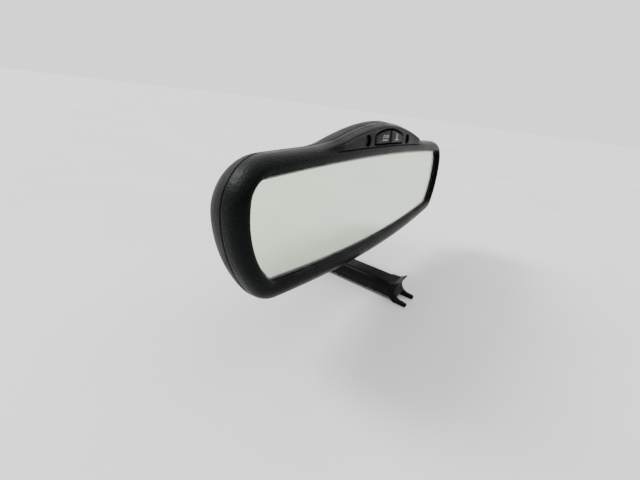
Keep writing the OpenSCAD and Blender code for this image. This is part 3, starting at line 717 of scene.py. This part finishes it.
for side in (-1, 1):
    window = button_outline(side)
    flare = [in_head(grown(window, g), y) for g, y in
             ((0.5, CUT_BACK), (0.5, PANEL_Y + 0.5), (0.62, PANEL_Y + 0.2), (0.86, PANEL_Y),
              (0.95, CUT_FRONT))]
    boolean(bezel, loft("window_cutter", flare, HEAD), "DIFFERENCE")
    profile = [(0, CUT_FRONT), (LENS_HOLE_R + 0.75, CUT_FRONT), (LENS_HOLE_R + 0.7, PANEL_Y - 0.1),
               (LENS_HOLE_R + 0.38, PANEL_Y + 0.12), (LENS_HOLE_R + 0.1, PANEL_Y + 0.5),
               (LENS_HOLE_R, PANEL_Y + 0.9), (LENS_HOLE_R, CUT_BACK), (0, CUT_BACK)]
    boolean(bezel, lathe("lens_cutter", profile, turned(HEAD), 64, disc(side * LENS_X, LENS_Z, 0)),
            "DIFFERENCE")
piece(bezel, "head", "bezel", "front_bezel", sharp=30)

LENS_PROFILE = [(0, -1.62), (1.2, -1.57), (2.2, -1.4), (2.75, -1.12), (2.96, -0.8), (2.98, -0.56),
                (3.45, -0.56), (3.45, 0.5), (0, 0.5)]
for name, side, node in (("glare_sensor_window", -1, "glare_sensor_lens"),
                         ("indicator_window", 1, "indicator_lens")):
    lens = lathe(name, LENS_PROFILE, turned(HEAD), 48, disc(side * LENS_X, LENS_Z, 0))
    piece(lens, "head", "dark_lens", node, sharp=45)

# ---------------------------------------------------------------- glass
# The first and last rings lie in the faces, 2 mm inside the glass's outline, so that a face shades flat.
GLASS_T, COAT_FRONT, COAT_BACK = 1.6, 1.9, 3.5
glass = [glass_ring(d, y) for d, y in
         ((-2, GLASS_T), (0.6, GLASS_T), (0.95, 1.52), (1.15, 1.3), (1.2, 0.8), (1.15, 0.3),
          (0.95, 0.08), (0.6, 0.0), (-2, 0.0))]
piece(loft("mirror_front_glass", glass, HEAD), "head", "front_glass", "front_glass", sharp=40)
coat = [glass_ring(d, y) for d, y in
        ((-2, COAT_BACK), (0.5, COAT_BACK), (0.7, 3.3), (0.7, 2.1), (0.5, COAT_FRONT), (-2, COAT_FRONT))]
piece(loft("mirror_reflector", coat, HEAD), "head", "reflector", "reflector_glass", sharp=30)

# ---------------------------------------------------------------- rear housing
HOUSING_DEPTH, BACK_MID_Z, BACK_HALF_H = 25.5, -2.4, 37.5
BACK = PARTING_Y + HOUSING_DEPTH


def back_ring(y, inset, lift, y_hump):
    """A ring of the housing, drawn in by inset towards the middle of its back."""
    p = ring(RIM, y, lift, y_hump)
    p[:, 0] *= 1 - inset / HEAD_HALF_W
    p[:, 2] = BACK_MID_Z + (p[:, 2] - BACK_MID_Z) * (1 - inset / BACK_HALF_H)
    return p


# Stations are (inset, depth, share of the hump, depth on the hump).
outer = refine([(0, PARTING_Y + 0.5, PARTING_LIFT, PARTING_HUMP_Y + 0.5), (0.2, 9.4, 0.96, 5.8),
                (0.7, 12, 1, 10), (1.8, 15.2, 0.97, 14.4), (3.6, 18.4, 0.87, 18.2), (6.6, 21.7, 0.7, 21.7),
                (12, 25, 0.45, 25), (18.5, 28, 0.2, 28), (26, 30.4, 0, 30.4), (31, BACK - 0.1, 0, BACK - 0.1),
                (34, BACK, 0, BACK)], 1.3)
outer = [back_ring(y, inset, lift, y_hump) for inset, y, lift, y_hump in outer]
edge = [back_ring(PARTING_Y + 0.02, 1.02, PARTING_LIFT, PARTING_HUMP_Y + 0.02),
        back_ring(PARTING_Y + 0.2, 1.0, PARTING_LIFT, PARTING_HUMP_Y + 0.2),
        back_ring(PARTING_Y + 0.23, 0.22, PARTING_LIFT, PARTING_HUMP_Y + 0.23),
        back_ring(PARTING_Y + 0.32, 0.06, PARTING_LIFT, PARTING_HUMP_Y + 0.32)]
inner = [back_ring(*s) for s in (
    (BACK - WALL, 33.5, 0, BACK - WALL), (BACK - WALL, 31, 0, BACK - WALL), (28.2, 25, 0, 28.2),
    (25.8, 18.5, 0.2, 25.8), (23, 13, 0.45, 23), (20, 8.4, 0.7, 20), (17.2, 5.6, 0.87, 16.8),
    (14.4, 3.7, 0.97, 13.4), (11.8, 2.6, 1, 9.6), (9.4, 2.2, 0.96, 6.4),
    (PARTING_Y + 0.02, WALL, PARTING_LIFT, PARTING_HUMP_Y + 0.02))]
housing = loft("housing_shell", [*inner, *edge, *outer], HEAD)
BALL_Z = BALL_IN_HEAD[2]
SCREW_X, SCREW_DZ, SCREW_R, SCREW_BOSS_R, SCREW_BOSS_FRONT, SCREW_END = 19, 6.5, 1.25, 3.4, 24.0, 26.6
for x in (-SCREW_X, SCREW_X):
    for z, end in ((SCREW_DZ, 31.6), (-SCREW_DZ, 28.6)):
        profile = [(0, SCREW_END), (0, end), (SCREW_BOSS_R, end), (SCREW_BOSS_R, SCREW_BOSS_FRONT + 0.3),
                   (SCREW_BOSS_R - 0.3, SCREW_BOSS_FRONT), (SCREW_R, SCREW_BOSS_FRONT), (SCREW_R, SCREW_END)]
        boolean(housing, lathe("boss", profile, turned(HEAD), 32, disc(x, BALL_Z + z, 0)), "UNION")
CUT_IN, CUT_OUT = 20, 40
PIVOT_HOLE_R, PIVOT_RIM_R = 14.5, 16.5
profile = [(0, CUT_IN), (PIVOT_HOLE_R, CUT_IN), (PIVOT_HOLE_R, 30.8), (PIVOT_HOLE_R + 0.5, 32.4),
           (PIVOT_RIM_R, 34.4), (PIVOT_RIM_R, CUT_OUT), (0, CUT_OUT)]
boolean(housing, lathe("pivot_cutter", profile, turned(HEAD), 128, disc(0, BALL_Z, 0)), "DIFFERENCE")
AMBIENT_X, SOCKET_X, SOCKET_Z, SOCKET_W, SOCKET_T = 31, -31, 6, 18, 9
profile = [(0, CUT_IN), (3.2, CUT_IN), (3.2, BACK - 0.7), (3.8, BACK + 0.1), (3.8, CUT_OUT), (0, CUT_OUT)]
boolean(housing, lathe("ambient_cutter", profile, turned(HEAD), 64, disc(AMBIENT_X, SOCKET_Z, 0)),
        "DIFFERENCE")


def rectangle(cx, cz, w, h, r, n=6):
    """A rounded rectangle's outline, anticlockwise."""
    p = []
    for sx, sz, a0 in ((1, 1, 0), (-1, 1, 90), (-1, -1, 180), (1, -1, 270)):
        for k in range(n + 1):
            a = math.radians(a0 + 90 * k / n)
            p.append((cx + sx * (w / 2 - r) + r * math.cos(a), cz + sz * (h / 2 - r) + r * math.sin(a)))
    return np.array(p)


socket_hole = rectangle(SOCKET_X, SOCKET_Z, SOCKET_W + 0.6, SOCKET_T + 0.6, 0.9)
boolean(housing, prism("socket_cutter", socket_hole, 1, CUT_IN, CUT_OUT, HEAD), "DIFFERENCE")
piece(housing, "head", "housing", "rear_housing", sharp=30)

# The ambient light's window ends its light pipe, which has a flange halfway along.
profile = [(0, 15.5), (2.8, 15.5), (3.0, 15.7), (3.0, 26.2), (4.2, 26.2), (4.2, 27.6), (3.0, 27.6),
           (3.0, BACK - 0.3), (2.85, BACK), (2.3, BACK + 0.2), (1.2, BACK + 0.29), (0, BACK + 0.3)]
piece(lathe("ambient_window", profile, turned(HEAD), 64, disc(AMBIENT_X, SOCKET_Z, 0)),
      "head", "dark_lens", "ambient_lens", sharp=45)

SOCKET_FRONT, SOCKET_FLOOR, SOCKET_WALL = 10.6, 22, 1.3
socket = prism("harness_inlet", rectangle(SOCKET_X, SOCKET_Z, SOCKET_W, SOCKET_T, 0.8), 1,
               SOCKET_FRONT, BACK + 0.4, HEAD)
key_z = SOCKET_T / 2 - SOCKET_WALL + 0.15
for name, x, z, width, height, r in (
        ("cavity", 0, 0, SOCKET_W - 2 * SOCKET_WALL, SOCKET_T - 2 * SOCKET_WALL, 0.6),
        ("key", -5.2, -key_z, 1.0, 1.0, 0.2), ("key", 5.2, -key_z, 1.0, 1.0, 0.2),
        ("latch", 0, key_z, 4.2, 0.9, 0.2)):
    outline = rectangle(SOCKET_X + x, SOCKET_Z + z, width, height, r)
    boolean(socket, prism(name, outline, 1, SOCKET_FLOOR, BACK + 2, HEAD), "DIFFERENCE")
bevel(socket, 0.18, 2)
piece(socket, "head", "socket", "harness_socket")

# ---------------------------------------------------------------- stem
TUBE_R, SEAT_OUT, MOUTH, BORE_R, WAIST = 10.2, 9.05, 4.6, 6.5, 1.3
SEAT_R = SEAT_OUT + 0.07


def half_tube():
    """The tube's outside from its head-end lip to the waist at its middle, and its seat from bore to lip."""
    outside = [(7.95, -MOUTH), (9.0, -MOUTH), (9.55, -MOUTH + 0.15), (10.0, -MOUTH + 0.55),
               (TUBE_R, -MOUTH + 1.1), (TUBE_R, -2.2), (TUBE_R - 0.1, -1.9), (TUBE_R - 0.55, -1.5),
               (TUBE_R - 0.55, -0.9), (TUBE_R - 0.1, -0.5), (TUBE_R, -0.2), (TUBE_R, 14)]
    for a in np.linspace(0, 1, 15):
        z = STEM_LENGTH / 2 - 9 * (1 - a)
        outside.append((TUBE_R - WAIST * math.sin(math.pi / 2 * a) ** 2, z))
    seat = [(SEAT_R * math.sin(w), SEAT_R * math.cos(w)) for w in
            np.linspace(math.asin(BORE_R / SEAT_R), math.pi - math.acos(MOUTH / SEAT_R), 22)]
    return outside, seat


outside, seat = half_tube()
far_outside, far_seat = ([(r, STEM_LENGTH - z) for r, z in half[::-1]] for half in (outside, seat))
profile = outside + far_outside[1:] + far_seat + seat
piece(lathe("stem_tube_skin", profile, STEM, 128), "stem", "stem", "stem_tube", sharp=28)

# ---------------------------------------------------------------- windshield shoe
# A copy of the CAD shoe with rounded edges, because its shape is right
shoe = NODES["mount_shoe"].copy()
shoe.data = shoe.data.copy()
shoe.name = "shoe_casting"
for key in list(shoe.keys()):
    del shoe[key]
shoe.parent = None
bpy.context.scene.collection.objects.link(shoe)
clean(shoe)
bevel(shoe, 0.45, 3)
piece(shoe, "mount", "shoe", "mount_shoe")

# ---------------------------------------------------------------- wiring cover
COVER_W, COVER_LOW, COVER_TOP, COVER_WALL, COVER_ROUND = 16, 2.8, 13.4, 1.6, 2.8
COVER_FRONT, COVER_BACK, SCREW_Y = -107, -15.3, -21


def channel(width, low, top, r, n=10):
    """A section open at the bottom with a rounded top, from the left foot over to the right foot."""
    p = [(-width / 2, low)]
    for sx, a0 in ((-1, 180), (1, 90)):
        for k in range(n + 1):
            a = math.radians(a0 - 90 * k / n)
            p.append((sx * (width / 2 - r) + r * math.cos(a), top - r + r * math.sin(a)))
    return p + [(width / 2, low)]


section = channel(COVER_W, COVER_LOW, COVER_TOP, COVER_ROUND)
section += channel(COVER_W - 2 * COVER_WALL, COVER_LOW, COVER_TOP - COVER_WALL,
                   COVER_ROUND - COVER_WALL)[::-1]
cover = prism("cover_channel", section, 1, COVER_FRONT, COVER_BACK)
# The forked end: a cheek at each side with a round hollow bitten out of it, above a prong
HOLLOW_C, HOLLOW_R = (-118.2, 9.6), 6.6
horn = [(-103, COVER_LOW), (-103, COVER_TOP - 0.4), (-109, COVER_TOP - 0.1), (-111.5, COVER_TOP + 1.2),
        (-113.6, COVER_TOP + 3), (-114, COVER_TOP + 2.2)]
prong = [(-119.6, 2.75), (-121.4, 2.6), (-122.2, 1.9), (-122.2, 0.7), (-121.4, 0), (-112.6, 0),
         (-108.6, COVER_LOW)]


def hollow(r, a):
    """A point of the fork's hollow at angle a, in degrees."""
    return HOLLOW_C[0] + r * math.cos(math.radians(a)), HOLLOW_C[1] + r * math.sin(math.radians(a))


cheek = horn + [hollow(HOLLOW_R, a) for a in np.linspace(42, -98, 25)] + prong
for side in (-1, 1):
    x = side * (COVER_W / 2 - 1)
    boolean(cover, prism("cheek", cheek, 0, x - 1, x + 1), "UNION")
# The wall between the cheeks follows the hollow and closes the channel's end.
near = [hollow(HOLLOW_R, a) for a in np.linspace(44, -52, 19)]
far = [hollow(HOLLOW_R + COVER_WALL, a) for a in np.linspace(-40, 15, 12)]
crest = [(-113.75, COVER_TOP + 2.55), (-113.5, COVER_TOP + 2.85), (-111.5, COVER_TOP + 1.2),
         (-109, COVER_TOP - 0.1), (-105.5, COVER_TOP - 0.35), (-105.5, COVER_TOP - COVER_WALL + 0.2),
         (-110.0, COVER_TOP - COVER_WALL)]
boolean(cover, prism("end_wall", crest + far[::-1] + near[::-1], 0, -6.5, 6.5), "UNION")
HOLE_R, HEAD_R, HEAD_SINK = 1.5, 2.7, 0.8
profile = [(0, 0), (HOLE_R, 0), (HOLE_R, COVER_TOP - HEAD_SINK), (HEAD_R, COVER_TOP - HEAD_SINK),
           (HEAD_R, 20), (0, 20)]
boolean(cover, lathe("cover_hole", profile, ROW, 48, (0, SCREW_Y, 0)), "DIFFERENCE")
clean(cover)
bevel(cover, 0.42, 3, 30)
piece(cover, "mount", "cover", "wiring_cover", sharp=35)

# ---------------------------------------------------------------- floor, light, camera
FLOOR_Z, REACH = -0.0003, 9.0
floor_mesh = bpy.data.meshes.new("floor")
corners = [(x * REACH, y * REACH, FLOOR_Z) for x, y in ((-1, -1), (1, -1), (1, 1), (-1, 1))]
floor_mesh.from_pydata(corners, [], [(0, 1, 2, 3)])
floor = bpy.data.objects.new("floor", floor_mesh)
bpy.context.scene.collection.objects.link(floor)
g = Graph("pale_table")
cloud = g.noise(160, 3)
floor.data.materials.append(g.finish(
    Base_Color=g.blend(g.span(cloud, 0.35, 0.65), (0.69, 0.69, 0.685), (0.74, 0.74, 0.735)),
    Roughness=g.span(g.noise(60, 3), 0.3, 0.7, 0.55, 0.7), Normal=g.bump(g.noise(2, 3), 0.02)))

# The world is bright on the far side of the object and dim on the camera's, like the photo's reflections.
BRIGHT_SIDE, BRIGHT, DIM = (0.62, 0.78, 0.08), (1.5, 1.505, 1.48, 1), (0.36, 0.37, 0.37, 1)
world = bpy.data.worlds.new("studio")
world.use_nodes = True
tree = world.node_tree
facing = tree.nodes.new("ShaderNodeVectorMath")
facing.operation = "DOT_PRODUCT"
facing.inputs[1].default_value = BRIGHT_SIDE
coords = tree.nodes.new("ShaderNodeTexCoord")
tree.links.new(coords.outputs["Generated"], facing.inputs[0])
turn_on = tree.nodes.new("ShaderNodeMapRange")
turn_on.interpolation_type = "SMOOTHSTEP"
for key, value in (("From Min", -0.55), ("From Max", 0.35), ("To Min", 0.0), ("To Max", 1.0)):
    turn_on.inputs[key].default_value = value
tree.links.new(facing.outputs["Value"], turn_on.inputs["Value"])
sky = tree.nodes.new("ShaderNodeMix")
sky.data_type = "RGBA"
sky.inputs[6].default_value = DIM
sky.inputs[7].default_value = BRIGHT
tree.links.new(turn_on.outputs[0], sky.inputs[0])
tree.links.new(sky.outputs[2], tree.nodes["Background"].inputs[0])
bpy.context.scene.world = world


def soft_sun(name, source, spread, strength, colour):
    """A broad, far light that shines from source towards the origin. Its spread is in degrees."""
    data = bpy.data.lights.new(name, "SUN")
    data.angle = math.radians(spread)
    data.energy = strength
    data.color = colour
    obj = bpy.data.objects.new(name, data)
    bpy.context.scene.collection.objects.link(obj)
    obj.rotation_euler = Vector(source).to_track_quat("Z", "Y").to_euler()


soft_sun("key", (-0.34, 0.85, 0.74), 20, 3.3, (0.98, 0.995, 1.0))
soft_sun("top", (-0.1, 0.15, 1.0), 110, 1.9, (1.0, 1.0, 1.0))

# The camera's place (mm) and turn in the head frame, which the outline of the glass in the photo gives
CAM, LENS_MM, SENSOR_MM = (-200.32, -89.64, 44.86), 17.72, 36
AZIMUTH, ELEVATION, ROLL = math.radians(-55.285), math.radians(20.561), math.radians(2.291)
back = np.array([math.sin(AZIMUTH) * math.cos(ELEVATION), -math.cos(AZIMUTH) * math.cos(ELEVATION),
                 math.sin(ELEVATION)])
right = np.cross(-back, [0, 0, 1])
right /= np.linalg.norm(right)
up = np.cross(right, -back)
cam_x = math.cos(ROLL) * right + math.sin(ROLL) * up
cam_y = -math.sin(ROLL) * right + math.cos(ROLL) * up
axes = [place([v], (np.zeros(3), HEAD_X, HEAD_Y, HEAD_Z))[0] / MM for v in (cam_x, cam_y, back)]
data = bpy.data.cameras.new("camera")
data.sensor_width = SENSOR_MM
data.lens = LENS_MM
data.clip_start = 0.01
camera = bpy.data.objects.new("camera", data)
bpy.context.scene.collection.objects.link(camera)
turn = Matrix([[axes[c][r] for c in range(3)] for r in range(3)]).to_4x4()
camera.matrix_world = Matrix.Translation(Vector(place([CAM], HEAD)[0])) @ turn
bpy.context.scene.camera = camera
